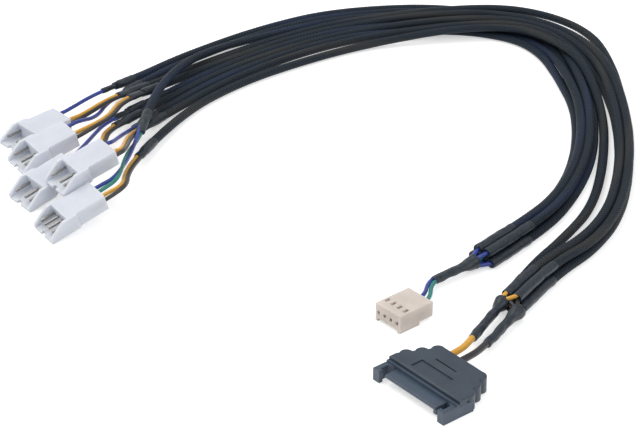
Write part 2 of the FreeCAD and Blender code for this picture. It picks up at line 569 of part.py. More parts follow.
def build():
    """Make every piece and write it to its own file."""
    os.makedirs("parts", exist_ok=True)
    power = {n: [lay(p) for p in route] for n, route in POWER_ROUTES.items()}
    signal = {n: [lay(p) for p in route] for n, route in SIGNAL_ROUTES.items()}
    up = Vector(0, 0, 1)

    # Plugs
    sata_place = place(SATA_PLACE)
    header_place = place(HEADER_PLACE)
    export("sata_housing", moved(sata_housing(), sata_place))
    export("sata_rear_cover", moved(rear_cover(), sata_place))
    export("sata_contacts", moved(sata_contacts(), sata_place))
    export("header_housing", moved(header_housing(), header_place))
    export("header_terminals", moved(header_terminals(), header_place))
    fan_colours = {n: ["yellow", "black", "blue"] for n in FAN_PLACES}
    fan_colours[5].append("green")
    for number, spot in FAN_PLACES.items():
        colours = fan_colours[number]
        export("fan_%d_housing" % number, moved(fan_housing(colours), place(spot)))
        pins = Part.makeCompound([fan_pin(colour) for colour in colours])
        export("fan_%d_pins" % number, moved(pins, place(spot)))

    # Sleeves
    for kind, routes in (("power", power), ("signal", signal)):
        for number, route in routes.items():
            name = "%s_sleeve_%d" % (kind, number)
            export(name, tube(name, route, SLEEVE_D))

    # Thin wires to the fan plugs and the shrinks over their roots
    for number in FAN_PLACES:
        shrinks = []
        for kind, routes in (("power", power), ("signal", signal)):
            colours = [c for c in fan_colours[number] if (c in POWER_COLOURS) == (kind == "power")]
            route = routes[number]
            for colour in colours:
                name = "fan_%d_%s_wire" % (number, colour)
                export(name, tube(name, fan_wire_points(number, kind, colour, route), WIRE_D))
            wire_radius = WIRE_D / 2 if len(colours) == 1 else SLEEVE_D / 2
            shrinks.append(fan_shrink(route[-1], end_direction(route), wire_radius))
        export("fan_%d_heatshrinks" % number, Part.makeCompound(shrinks))

    # Splices: thin wires from each mouth to the sleeves
    mouths = {"yellow": YELLOW_SPLICE, "black": BLACK_SPLICE, "blue": SIGNAL_SPLICE, "green": SIGNAL_SPLICE}
    rows = {"yellow": YELLOW_ROWS, "black": BLACK_ROWS, "blue": BLUE_ROWS, "green": (GREEN_ROW, GREEN_ROW)}
    tails = {colour: {} for colour in mouths}
    for colour, points in mouths.items():
        routes = power if colour in POWER_COLOURS else signal
        order = ROW_ORDER_POWER if colour in POWER_COLOURS else ROW_ORDER_SIGNAL
        mouth = lay(points[0])
        aim = (mouth - lay(points[1])).normalize()
        for number, rank in order.items():
            if colour == "green" and number != 5:
                continue
            height = rows[colour][1 if number in UPPER_SLEEVES else 0]
            lift = up * (PAIR_OFFSET if colour in ("yellow", "green") else -PAIR_OFFSET)
            if colour == "blue" and number != 5:
                lift = Vector()
            tails[colour][number] = tail_wire(mouth, aim, rank * ROW_PITCH, height, routes[number][0], lift)
        export("%s_splice_tails" % colour, Part.makeCompound(list(tails[colour].values())))

    # Shrinks over the sleeves' source ends
    for kind, routes in (("power", power), ("signal", signal)):
        shrinks = [source_shrink(r[0], (r[1] - r[0]).normalize()) for r in routes.values()]
        export("%s_source_heatshrinks" % kind, Part.makeCompound(shrinks))

    # Wires from the plugs to the splices
    plug_wires = {}
    wire_x = {"yellow": YELLOW_WIRE_X, "black": BLACK_WIRE_X}
    for colour, x in wire_x.items():
        points = mouths[colour]
        mouth, bend = [lay(p) for p in points]
        back = (bend - mouth).normalize()
        route = [mouth + back * POWER_WIRE_ROOT, bend,
                 sata_place.multVec(Vector(x, -COVER_L - POWER_WIRE_OUT, POWER_WIRE_Z)),
                 sata_place.multVec(Vector(x, -COVER_L + POWER_WIRE_DEPTH, POWER_WIRE_Z))]
        name = "sata_%s_wire" % colour
        plug_wires[colour] = tube(name, route, POWER_WIRE_D)
        export(name, plug_wires[colour])
        body = splice_shrink(points, POWER_SPLICE_L, POWER_WIRE_D / 2)
        tools = [plug_wires[colour]] + list(tails[colour].values())
        export("sata_%s_splice_heatshrink" % colour, body.cut(Part.makeCompound(tools)))

    mouth, bend = [lay(p) for p in SIGNAL_SPLICE]
    back = (bend - mouth).normalize()
    terminal_back = -HEADER_MOUTH_L - HEADER_SEAT_GAP - HEADER_TERMINAL_L
    tools = list(tails["blue"].values()) + list(tails["green"].values())
    for colour, cavity in header_cavities().items():
        offset = side_of(back) * (PAIR_OFFSET if cavity > 0 else -PAIR_OFFSET)
        x = cavity * PIN_PITCH
        route = [mouth + back * SIGNAL_WIRE_ROOT + offset, bend + offset,
                 header_place.multVec(Vector(x, -HEADER_L - SIGNAL_WIRE_OUT, HEADER_ROW_Z)),
                 header_place.multVec(Vector(x, terminal_back, HEADER_ROW_Z))]
        name = "header_%s_wire" % colour
        wire = tube(name, route, WIRE_D)
        export(name, wire)
        tools.append(wire)
    body = splice_shrink(SIGNAL_SPLICE, SIGNAL_SPLICE_L, WIRE_D)
    export("header_splice_heatshrink", body.cut(Part.makeCompound(tools)))


build()
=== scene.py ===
import logging
import math
from collections.abc import Callable, Iterable
from dataclasses import dataclass, field
from enum import Enum
from functools import cache

import bpy
from bpy.types import Material, Node, NodeSocket, NodeTree, Object, bpy_prop_collection
from mathutils import Matrix, Vector, noise


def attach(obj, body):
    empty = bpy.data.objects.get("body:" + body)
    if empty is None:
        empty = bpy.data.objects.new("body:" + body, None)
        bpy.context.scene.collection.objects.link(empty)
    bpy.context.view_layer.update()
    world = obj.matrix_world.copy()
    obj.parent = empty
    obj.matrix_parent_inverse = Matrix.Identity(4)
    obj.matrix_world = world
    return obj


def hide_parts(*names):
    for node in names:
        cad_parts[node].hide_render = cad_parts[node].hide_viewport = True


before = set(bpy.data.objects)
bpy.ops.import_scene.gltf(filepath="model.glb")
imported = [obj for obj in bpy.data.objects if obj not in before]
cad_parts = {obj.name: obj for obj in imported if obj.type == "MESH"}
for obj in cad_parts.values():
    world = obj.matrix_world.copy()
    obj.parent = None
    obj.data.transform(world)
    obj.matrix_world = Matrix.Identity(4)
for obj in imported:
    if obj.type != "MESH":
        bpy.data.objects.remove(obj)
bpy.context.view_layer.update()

LOG = logging.getLogger("fan_splitter_cable")

MM = 0.001
BODY = "root"
UP = Vector((0.0, 0.0, 1.0))
WIRE_D = 0.00128
POWER_WIRE_D = 0.002

Point = tuple[float, float, float]


class Colour(Enum):
    """Insulation colours of the wires."""

    YELLOW = "yellow"
    BLACK = "black"
    BLUE = "blue"
    GREEN = "green"


class Feed(Enum):
    """What the wires inside a sleeve carry."""

    POWER = "power"
    SIGNAL = "signal"


# Routes of the braided sleeves, from the splices to the fan plugs, as in the part's source. Power
# sleeves 2 to 5 are drawn in a little at the outer bend, so that a gap opens inside sleeve 1.
# The points of routes and wires are in millimetres.
POWER_ROUTES: dict[int, list[Point]] = {
    1: [
        (88.8, -24.35, 1.65), (97.8, -9.85, 1.65), (109.8, 4.0, 1.4), (119.8, 24.7, 1.35),
        (126.0, 57.5, 1.35), (127.6, 91.0, 1.35), (127.3, 123.0, 1.5), (121.5, 149.0, 2.8),
        (100.0, 162.5, 4.6), (74.0, 162.9, 4.4), (38.8, 159.0, 1.4), (14.6, 145.6, 1.35),
        (-10.3, 125.8, 1.4), (-24.5, 111.6, 1.6), (-32.6, 101.7, 3.4),
    ],
    2: [
        (87.4, -23.5, 4.55), (96.4, -9.0, 4.5), (109.7, 4.1, 4.2), (119.7, 24.8, 4.15),
        (126.0, 57.5, 4.15), (127.6, 91.0, 4.15), (124.8, 122.5, 4.6), (114.5, 143.1, 5.0),
        (98.0, 156.6, 4.6), (74.0, 160.2, 4.4), (40.0, 156.3, 1.4), (16.2, 143.2, 1.35),
        (-8.3, 123.4, 1.4), (-21.6, 109.5, 2.2), (-29.2, 98.7, 4.2),
    ],
    3: [
        (84.6, -21.7, 4.55), (93.6, -7.2, 4.5), (106.9, 6.1, 4.2), (116.9, 26.0, 4.15),
        (123.0, 58.0, 4.15), (124.6, 90.5, 4.15), (122.5, 121.5, 3.7), (112.2, 141.3, 5.0),
        (97.0, 153.6, 4.6), (74.0, 154.7, 4.4), (42.3, 151.3, 1.4), (19.5, 138.8, 1.35),
        (-4.4, 119.2, 1.4), (-21.5, 98.9, 1.6), (-32.8, 82.6, 3.0),
    ],
    4: [
        (86.0, -22.6, 1.65), (95.0, -8.1, 1.65), (107.0, 6.0, 1.4), (117.0, 26.0, 1.35),
        (123.0, 58.0, 1.35), (124.6, 90.5, 1.35), (120.4, 121.0, 2.0), (109.9, 139.4, 5.0),
        (96.0, 150.6, 4.6), (74.0, 149.3, 4.4), (44.6, 146.2, 1.4), (22.8, 134.4, 1.35),
        (0.0, 114.9, 1.4), (-16.5, 94.8, 1.45), (-25.7, 79.6, 2.8),
    ],
    5: [
        (83.2, -20.85, 1.65), (90.0, -6.5, 1.65), (101.0, 10.0, 1.4), (111.5, 29.0, 1.35),
        (117.8, 58.0, 1.35), (120.8, 90.0, 1.35), (117.0, 120.0, 5.4), (107.4, 137.4, 5.2),
        (95.0, 147.6, 4.6), (74.0, 146.5, 4.4), (46.2, 141.0, 1.4), (26.5, 129.9, 1.35),
        (3.0, 112.5, 1.4), (-16.5, 89.0, 1.4), (-25.5, 62.9, 3.0),
    ],
}
SIGNAL_ROUTES: dict[int, list[Point]] = {
    1: [
        (82.3, -0.5, 1.65), (93.5, 12.3, 1.6), (104.4, 29.8, 1.35), (114.4, 58.0, 1.35),
        (117.8, 90.0, 1.35), (115.9, 119.7, 1.35), (113.2, 141.75, 1.35), (100.5, 157.5, 1.35),
        (74.0, 171.0, 1.35), (35.0, 167.2, 1.35), (9.0, 153.2, 1.35), (-16.7, 131.9, 1.4),
        (-30.6, 116.4, 1.6), (-38.4, 105.8, 3.2),
    ],
    2: [
        (81.05, 0.6, 4.55), (92.25, 13.4, 4.4), (103.3, 30.6, 3.85), (113.0, 58.0, 3.85),
        (116.4, 90.0, 3.85), (113.95, 118.85, 3.85), (110.75, 140.0, 1.35), (99.0, 155.0, 1.35),
        (74.0, 168.3, 1.35), (36.2, 164.4, 1.35), (10.65, 150.8, 1.35), (-14.5, 129.5, 1.4),
        (-27.6, 114.2, 1.6), (-34.3, 104.9, 1.9),
    ],
    3: [
        (78.55, 2.8, 4.55), (89.75, 15.6, 4.4), (101.1, 32.2, 3.85), (110.2, 58.0, 3.85),
        (113.6, 90.0, 3.85), (110.05, 117.15, 3.85), (105.85, 136.5, 1.35), (95.5, 148.5, 1.35),
        (74.0, 157.4, 1.35), (41.1, 153.8, 1.35), (17.9, 141.0, 1.35), (-6.3, 121.2, 1.4),
        (-23.3, 101.3, 1.5), (-33.3, 89.8, 1.9),
    ],
    4: [
        (77.3, 3.9, 1.65), (88.5, 16.7, 1.6), (100.0, 33.0, 1.35), (108.8, 58.0, 1.35),
        (112.2, 90.0, 1.35), (108.1, 116.3, 1.35), (103.4, 134.75, 1.35), (94.2, 146.0, 1.35),
        (74.0, 152.0, 1.35), (43.5, 148.8, 1.35), (21.2, 136.6, 1.35), (-2.3, 117.0, 1.4),
        (-18.9, 96.6, 1.45), (-27.3, 83.6, 1.9),
    ],
    5: [
        (79.8, 1.7, 1.65), (91.0, 14.5, 1.6), (102.2, 31.4, 1.35), (111.6, 58.0, 1.35),
        (115.0, 90.0, 1.35), (112.0, 118.0, 1.35), (108.3, 138.25, 1.35), (97.5, 152.4, 1.35),
        (74.0, 165.4, 1.35), (37.4, 161.8, 1.35), (12.3, 148.6, 1.35), (-10.5, 129.0, 4.2),
        (-20.6, 107.5, 6.6), (-25.2, 86.5, 7.4), (-26.8, 72.0, 7.3),
    ],
}

ROUTES = {Feed.POWER: POWER_ROUTES, Feed.SIGNAL: SIGNAL_ROUTES}

# The sleeve whose signal wires are two, and the order and level of the wire ends in the splices.
GREEN_SLEEVE = 5
UPPER_SLEEVES = (2, 3)
ROW_ORDER: dict[Feed, dict[int, float]] = {
    Feed.POWER: {5: -1.0, 4: 0.0, 1: 1.0, 3: -0.5, 2: 0.5},
    Feed.SIGNAL: {4: -1.0, 5: 0.0, 1: 1.0, 3: -0.5, 2: 0.5},
}
ROW_HEIGHTS: dict[Colour, tuple[float, float]] = {
    Colour.YELLOW: (2.25, 4.95), Colour.BLACK: (0.95, 3.6),
    Colour.BLUE: (0.95, 3.6), Colour.GREEN: (2.27, 2.27),
}
# Cavity of each colour in a fan plug, counted across it from its middle.
CAVITIES = {Colour.BLUE: 1.5, Colour.GREEN: 0.5, Colour.YELLOW: -0.5, Colour.BLACK: -1.5}
CAVITY_PITCH = 2.54


def side_of(direction: Vector) -> Vector:
    """Level unit vector to the right of a direction."""
    return direction.cross(UP).normalized()


def colours_in(feed: Feed, number: int) -> tuple[Colour, ...]:
    """Colours of the wires in one sleeve."""
    signals = (Colour.BLUE, Colour.GREEN) if number == GREEN_SLEEVE else (Colour.BLUE,)
    return signals if feed is Feed.SIGNAL else (Colour.YELLOW, Colour.BLACK)


@dataclass(frozen=True)
class Place:
    """Where a plug lies: its nose in millimetres, its heading and nose-down pitch in degrees."""

    nose: Point
    heading: float
    pitch: float = 0.0

    def at(self, *spot: float) -> Vector:
        """Find where a point of the plug's own frame lies.

        Args:
            *spot: Distances to the right, ahead and up from the nose.

        Returns:
            The point in the cable's frame.
        """
        turn = Matrix.Rotation(math.radians(self.heading - 90), 3, "Z")
        lean = Matrix.Rotation(math.radians(-self.pitch), 3, "X")
        return Vector(self.nose) + turn @ lean @ Vector(spot)


@dataclass(frozen=True)
class FanRun:
    """The way of the bare wires from one sleeve to its fan plug, in millimetres and turns."""

    middle: Point | None = None
    first: float = 10.0
    twist: float = 0.0


@dataclass(frozen=True)
class FanPlug:
    """One fan plug's place and the wires that come in behind it, in millimetres."""

    place: Place
    power: FanRun = FanRun()
    signal: FanRun = FanRun()
    gather: float = 8.0
    lone_gather: float = 4.5
    drop: float = 0.0
    out: float = 2.2
    length: float = 20.5
    depth: float = 5.5
    row: float = 2.5
    half_gap: float = 0.65

    def wires(self, number: int, feed: Feed, sleeve: list[Point]) -> dict[Colour, list[Vector]]:
        """Work out the wires of a sleeve: side by side at first, and apart at the plug.

        Args:
            number: The plug's number, which is its sleeves' too.
            feed: What the sleeve's wires carry.
            sleeve: The sleeve's route.

        Returns:
            The points of each wire.
        """
        run = self.power if feed is Feed.POWER else self.signal
        colours = colours_in(feed, number)
        end = Vector(sleeve[-1])
        ahead = (end - Vector(sleeve[-2])).normalized()
        middle = sum(CAVITIES[colour] for colour in colours) / len(colours) * CAVITY_PITCH
        reach = self.gather if len(colours) == 2 else min(self.gather, self.lone_gather)
        near = self.place.at(middle, -self.length - reach, self.row) - UP * self.drop
        line = [end, end + ahead * run.first, near]
        if run.middle:
            line.insert(2, Vector(run.middle))
        wires = {}
        for sign, colour in zip((1, -1), colours):
            points = []
            for index, point in enumerate(line):
                way = (line[min(index + 1, len(line) - 1)] - line[max(index - 1, 0)]).normalized()
                side = side_of(way)
                turn = 2 * math.pi * run.twist * line_length(line[:index + 1]) / line_length(line)
                spoke = side * math.cos(turn) + side.cross(way) * math.sin(turn)
                points.append(point + spoke * (self.half_gap * sign if len(colours) == 2 else 0.0))
            x = CAVITIES[colour] * CAVITY_PITCH
            points += [self.place.at(x, y - self.length, self.row) for y in (-self.out, self.depth)]
            wires[colour] = points
        return wires


# The plugs lie as in the part's source. Plug 4 leans on plug 3, so its wires come in higher and part
# only just behind it.
FAN_PLUGS = {
    1: FanPlug(Place((-68.9, 67.6, 0.0), 220.0, 4.0), gather=6.5),
    2: FanPlug(Place((-65.6, 55.2, 0.0), 212.0, 14.0),
               FanRun((-37.5, 78.0, 7.0)), FanRun((-42.5, 83.5, 3.4))),
    3: FanPlug(Place((-62.2, 32.6, 0.0), 218.0, 14.0),
               FanRun((-38.8, 61.0, 6.4)), FanRun((-43.0, 67.5, 4.6))),
    4: FanPlug(Place((-50.8, 29.0, 7.3), 214.0, 15.0),
               FanRun((-30.5, 58.5, 9.3), 7.0), FanRun((-33.7, 62.5, 7.6), 7.0), 3.6, drop=0.6, out=1.2),
    5: FanPlug(Place((-53.2, 14.0, 0.0), 212.2, 17.0),
               FanRun((-30.3, 41.5, 5.6)), FanRun((-30.4, 49.0, 7.9), 8.5, twist=1.0)),
}
SATA_PLACE = Place((56.8, -69.9, 0.0), 219.5)
HEADER_PLACE = Place((47.9, -36.1, 0.0), 220.5)


def metres(points: Iterable[Point | Vector]) -> list[Point]:
    """Turn points in millimetres into metres, to a hundredth of a millimetre."""
    return [tuple(round(v * MM, 5) for v in point) for point in points]


def linear(code: str) -> tuple[float, float, float, float]:
    """Turn an sRGB hex colour into linear RGBA.

    Args:
        code: Six hex digits, such as "49525E".

    Returns:
        The colour as four linear channels, alpha 1.
    """
    channels = [int(code[i:i + 2], 16) / 255 for i in (0, 2, 4)]
    lit = [c / 12.92 if c <= 0.04045 else ((c + 0.055) / 1.055) ** 2.4 for c in channels]
    return (lit[0], lit[1], lit[2], 1.0)


def set_inputs(node: Node, inputs: dict[str | int, object]) -> None:
    """Give a node's inputs their values and links.

    Args:
        node: The node whose inputs they are.
        inputs: A value, or an output socket to link, for each named or numbered input.
    """
    for key, value in inputs.items():
        if isinstance(value, NodeSocket):
            node.id_data.links.new(value, node.inputs[key])
        else:
            node.inputs[key].default_value = value


def add_node(
    tree: NodeTree,
    kind: str,
    inputs: dict[str | int, object] | None = None,
    **settings: object,
) -> bpy_prop_collection:
    """Add one node with its settings, values and incoming links.

    Args:
        tree: The node tree that takes the node.
        kind: Blender's name of the node type after the word ShaderNode.
        inputs: What its inputs take, as in set_inputs.
        **settings: Attributes of the node itself.

    Returns:
        The new node's outputs.
    """
    node = tree.nodes.new("ShaderNode" + kind)
    for name, value in settings.items():
        setattr(node, name, value)
    set_inputs(node, inputs or {})
    return node.outputs


def new_material(name: str) -> tuple[Material, Node]:
    """Start a material with a bare principled shader.

    Args:
        name: The real material's name.

    Returns:
        The material and its shader node.
    """
    material = bpy.data.materials.new(name)
    material.use_nodes = True
    return material, material.node_tree.nodes["Principled BSDF"]


def vary_by_noise(
    shader: Node,
    size: float,
    detail: float = 3.0,
    coarseness: float = 0.5,
    tints: Iterable[tuple[float, str]] | None = None,
    gloss: tuple[float, float] | None = None,
    relief: tuple[float, float] | None = None,
) -> None:
    """Let noise over the piece vary its colour, its gloss or its relief.

    Args:
        shader: The shader of the material.
        size: Size of the patches. Object coordinates are metres here, so it is their real size.
        detail: How many finer layers the noise has.
        coarseness: How strong the finer layers are.
        tints: Two stops in the noise's range, each with its sRGB hex colour.
        gloss: Roughness where the noise is low, and where it is high.
        relief: Strength and depth of the bumps.
    """
    tree = shader.id_data
    spot = add_node(tree, "TexCoord")["Object"]
    level = add_node(
        tree, "TexNoise",
        {"Vector": spot, "Scale": 1 / size, "Detail": detail, "Roughness": coarseness},
    )[0]
    if tints:
        ramp = add_node(tree, "ValToRGB", {0: level})
        for stop, (position, code) in zip(ramp[0].node.color_ramp.elements, tints):
            stop.position = position
            stop.color = linear(code)
        set_inputs(shader, {"Base Color": ramp[0]})
    if gloss:
        rough = add_node(tree, "MapRange", {0: level, 3: gloss[0], 4: gloss[1]})
        set_inputs(shader, {"Roughness": rough[0]})
    if relief:
        bump = add_node(tree, "Bump", {"Strength": relief[0], "Distance": relief[1], "Height": level})
        set_inputs(shader, {"Normal": bump[0]})


@dataclass(frozen=True)
class BraidFinish:
    """Polyester monofilament braid: dark strands with a painted highlight on their crests, and in the
    gaps painted shade and the wires' colours darkened by painted shade.

    A real sleeve has about twice as many carriers: fewer and wider ones are drawn, so that the
    weave still shows at the photograph's size.
    """

    name: str
    strand: str
    strand_highlight: str
    gap_shade: str
    wire: str
    pitch: float = 1.25 * MM
    carriers: int = 8
    filaments: int = 3
    wire_lay: float = 70.0 * MM
    wire_facing: tuple[float, float] = (0.2, 1.0)
    mesh_open: tuple[float, float] = (0.04, 0.26)
    filament_height: float = 0.35
    relief: float = 0.18 * MM
    relief_strength: float = 0.9
    roughness: tuple[float, float] = (0.62, 0.42)
    ior: float = 1.55
    specular: float = 0.22

    def build(self) -> Material:
        """Make the material, which reads the sleeve's own UV map: length in metres, turn.

        Returns:
            The new material.
        """
        material, shader = new_material(self.name)
        tree = material.node_tree
        uv = add_node(tree, "UVMap", uv_map="braid")[0]
        # The map turned by 45 degrees: X counts the falling carriers and Y the rising ones.
        carrier = add_node(
            tree, "Mapping",
            {0: uv, 2: (0.0, 0.0, math.pi / 4),
             3: (math.sqrt(2) / self.pitch, math.sqrt(2) * self.carriers, 1.0)},
        )[0]
        cell = add_node(tree, "VectorMath", {0: carrier}, operation="FLOOR")[0]
        parity = add_node(tree, "VectorMath", {0: cell, 1: (1.0, 1.0, 0.0)}, operation="DOT_PRODUCT")[1]
        over = add_node(tree, "Math", {0: parity, 1: 1.0}, operation="PINGPONG")[0]
        # Each carrier rises in its middle, and its crossings make diamonds.
        angle = add_node(tree, "VectorMath", {0: carrier, "Scale": math.pi}, operation="SCALE")[0]
        wave = add_node(tree, "VectorMath", {0: angle}, operation="SINE")[0]
        hump = add_node(tree, "VectorMath", {0: wave}, operation="ABSOLUTE")[0]
        humps = add_node(tree, "SeparateXYZ", {0: hump})
        bulge = add_node(tree, "Math", {0: humps[0], 1: humps[1]}, operation="MULTIPLY")[0]
        # Each carrier lays a few filaments side by side, seen as fine lines along it.
        turns = add_node(
            tree, "VectorMath", {0: angle, "Scale": 2.0 * self.filaments}, operation="SCALE",
        )[0]
        ripple = add_node(tree, "VectorMath", {0: turns}, operation="SINE")[0]
        half = (0.5, 0.5, 0.5)
        lines = add_node(tree, "VectorMath", {0: ripple, 1: half, 2: half}, operation="MULTIPLY_ADD")[0]
        line = add_node(tree, "SeparateXYZ", {0: lines})
        thread = add_node(tree, "Mix", {0: over, 2: line[1], 3: line[0]})[0]
        # Painted highlight: the filament lines on each carrier's crest take the lighter strand colour.
        highlight_mask = add_node(tree, "Math", {0: thread, 1: bulge}, operation="MULTIPLY")[0]
        tint = add_node(
            tree, "Mix",
            {0: highlight_mask, 6: linear(self.strand), 7: linear(self.strand_highlight)}, data_type="RGBA",
        )[2]
        # The coloured wire lies along one side of the sleeve and winds slowly round its fellow.
        side = add_node(
            tree, "VectorMath", {0: uv, 1: (2 * math.pi / self.wire_lay, 2 * math.pi, 0.0)},
            operation="DOT_PRODUCT",
        )[1]
        facing = add_node(tree, "Math", {0: side}, operation="SINE")[0]
        near = add_node(
            tree, "MapRange", {0: facing, 1: self.wire_facing[0], 2: self.wire_facing[1]},
        )[0]
        # Painted shade: the gap colour is shade inside the sleeve, and the wire colour is the
        # insulation's colour darkened by painted shade.
        inside = add_node(
            tree, "Mix",
            {0: near, 6: linear(self.gap_shade), 7: linear(self.wire)}, data_type="RGBA",
        )[2]
        open_mesh = add_node(
            tree, "MapRange",
            {0: bulge, 1: self.mesh_open[0], 2: self.mesh_open[1], 3: 1.0, 4: 0.0},
        )[0]
        colour = add_node(tree, "Mix", {0: open_mesh, 6: tint, 7: inside}, data_type="RGBA")
        height = add_node(
            tree, "Math", {0: thread, 1: self.filament_height, 2: bulge},
            operation="MULTIPLY_ADD",
        )[0]
        bump = add_node(
            tree, "Bump",
            {"Strength": self.relief_strength, "Distance": self.relief, "Height": height},
        )
        rough = add_node(tree, "MapRange", {0: thread, 3: self.roughness[0], 4: self.roughness[1]})
        set_inputs(shader, {
            "Base Color": colour[2], "Normal": bump[0], "Roughness": rough[0],
            "IOR": self.ior, "Specular IOR Level": self.specular,
        })
        return material


@dataclass(frozen=True)
class MouldedFinish:
    """Moulded or extruded plastic: an even colour, faint flow marks, a fine grain in the gloss.

    The grain is drawn coarser than a real moulding's, which would be too fine to see.
    """

    name: str
    colour: str
    deep: str
    roughness: float
    mottle: float = 6.0 * MM
    grain: float = 0.35 * MM
    grain_depth: float = 0.01 * MM
    grain_detail: float = 2.0
    grain_strength: float = 0.5
    gloss_spread: float = 0.06
    flow_stops: tuple[float, float] = (0.3, 0.62)
    ior: float = 1.5
    through: float = 0.0
    light_reach: float = 2.0 * MM

    def build(self) -> Material:
        """Make the material.

        Returns:
            The new material.
        """
        material, shader = new_material(self.name)
        vary_by_noise(shader, self.mottle, tints=zip(self.flow_stops, (self.deep, self.colour)))
        vary_by_noise(
            shader, self.grain, self.grain_detail,
            gloss=(self.roughness - self.gloss_spread, self.roughness + self.gloss_spread),
            relief=(self.grain_strength, self.grain_depth),
        )
        set_inputs(shader, {"IOR": self.ior})
        if self.through:
            set_inputs(shader, {
                "Subsurface Weight": self.through, "Subsurface Radius": (1.0, 1.0, 1.0),
                "Subsurface Scale": self.light_reach,
            })
        return material


@dataclass(frozen=True)
class ShrinkFinish:
    """Polyolefin heat-shrink: dark satin skin with fine lengthwise creases from shrinking, and a painted
    highlight on their raised parts.
    """

    name: str
    colour: str
    crease_highlight: str
    crease: float = 0.9 * MM
    crease_detail: float = 4.0
    crease_coarseness: float = 0.6
    crease_relief: float = 0.1 * MM
    relief_strength: float = 0.55
    highlight_stops: tuple[float, float] = (0.35, 0.72)
    roughness: tuple[float, float] = (0.3, 0.5)
    ior: float = 1.5

    def build(self) -> Material:
        """Make the material.

        Returns:
            The new material.
        """
        material, shader = new_material(self.name)
        # The same noise raises the creases and paints a highlight on them.
        vary_by_noise(
            shader, self.crease, self.crease_detail, self.crease_coarseness,
            zip(self.highlight_stops, (self.colour, self.crease_highlight)), self.roughness,
            (self.relief_strength, self.crease_relief),
        )
        set_inputs(shader, {"IOR": self.ior})
        return material


@dataclass(frozen=True)
class TinFinish:
    """Tin plate on stamped brass: a pale grey metal, dulled in streaks by the die."""

    name: str
    colour: str
    dull: str
    streak: float = 0.4 * MM
    dull_stops: tuple[float, float] = (0.3, 0.7)
    roughness: tuple[float, float] = (0.22, 0.42)

    def build(self) -> Material:
        """Make the material.

        Returns:
            The new material.
        """
        material, shader = new_material(self.name)
        tints = zip(self.dull_stops, (self.dull, self.colour))
        vary_by_noise(shader, self.streak, tints=tints, gloss=self.roughness)
        set_inputs(shader, {"Metallic": 1.0})
        return material


# Braid colours: the strand's own dark blue-grey, a lighter painted highlight for the carriers' crests,
# painted shade in the gaps, and the insulation's colour darkened by painted shade where it shows
# through them, so that a power sleeve looks flecked with gold and a signal sleeve with blue.
POWER_BRAID = BraidFinish("polyester_braid_over_yellow", "08131E", "3A4D5F", "171B1F", "4C4326")
SIGNAL_BRAID = BraidFinish("polyester_braid_over_blue", "08131E", "3A4D5F", "101826", "1C2C5C")
# Crumpled tubing, satin and nearly black, with a painted highlight where its creases stand proud.
SHRINK_SKIN = ShrinkFinish("polyolefin_heatshrink", "19232C", "2D3945")
# Milky nylon, which lets light in and so has soft shadows inside its walls.
WHITE_NYLON = MouldedFinish("white_nylon_66", "DBDFE8", "D6DAE4", 0.45, through=0.8)
BEIGE_NYLON = MouldedFinish("beige_nylon_66", "DDD2C9", "D4C8BE", 0.45, through=0.6)
# Satin black plastic that reads as slate grey under the lamps, glossier on the front moulding.
BLACK_PBT = MouldedFinish("black_glass_filled_pbt", "3B4754", "343F4B", 0.42, grain_depth=0.02 * MM)
GLOSSY_PBT = MouldedFinish(
    "black_pbt_glossy_moulding", "475566", "3F4C5C", 0.36, grain_depth=0.02 * MM,
)
# Pale metal pins and contacts, with dull streaks in their shine.
TIN_PLATE = TinFinish("tin_plated_brass", "B4B2AC", "8A8882")
# Soft vinyl with an even shine along each wire.
INSULATION = {
    Colour.YELLOW: MouldedFinish("yellow_pvc_insulation", "E8B048", "DDA23A", 0.34),
    Colour.BLACK: MouldedFinish("black_pvc_insulation", "37363A", "2E2D30", 0.36),
    Colour.BLUE: MouldedFinish("blue_pvc_insulation", "344AA0", "2C3E8C", 0.34),
    Colour.GREEN: MouldedFinish("green_pvc_insulation", "2F8A80", "277A71", 0.34),
}

Finish = BraidFinish | MouldedFinish | ShrinkFinish | TinFinish


@cache
def material_of(finish: Finish) -> Material:
    """Build a finish's material the first time that it is asked for."""
    return finish.build()


def dress(piece: Object, finish: Finish) -> None:
    """Give a piece its finish in every material slot.

    Args:
        piece: The object to dress, a new piece or a CAD node.
        finish: The finish that it takes.
    """
    if not piece.material_slots:
        piece.data.materials.append(material_of(finish))
    for slot in piece.material_slots:
        slot.material = material_of(finish)


class CordLine:
    """The smooth line of a cord: a NURBS spline with the route's points as control points."""

    def __init__(self, name: str, points: list[Point], resolution: int) -> None:
        """Make the curve.

        Args:
            name: Name of the curve object.
            points: The route's points, in metres.
            resolution: Steps that the spline takes for each of its points.
        """
        curve = bpy.data.curves.new(name, "CURVE")
        curve.dimensions = "3D"
        curve.resolution_u = resolution
        spline = curve.splines.new("NURBS")
        spline.points.add(len(points) - 1)
        for knot, point in zip(spline.points, points):
            knot.co = (*point, 1.0)
        spline.order_u = 3
        spline.use_endpoint_u = True
        self.curve = curve
        self.object = bpy.data.objects.new(name, curve)
        bpy.context.scene.collection.objects.link(self.object)

    def read(self) -> list[Vector]:
        """Read the spline's own points, and take the bare curve away again.

        Returns:
            The points, in order.
        """
        mesh = bpy.data.meshes.new_from_object(self.object)
        line = [vertex.co.copy() for vertex in mesh.vertices]
        bpy.data.meshes.remove(mesh)
        bpy.data.objects.remove(self.object)
        bpy.data.curves.remove(self.curve)
        return line


def line_length(line: list[Vector]) -> float:
    """Length of a line of points."""
    return sum((b - a).length for a, b in zip(line, line[1:]))


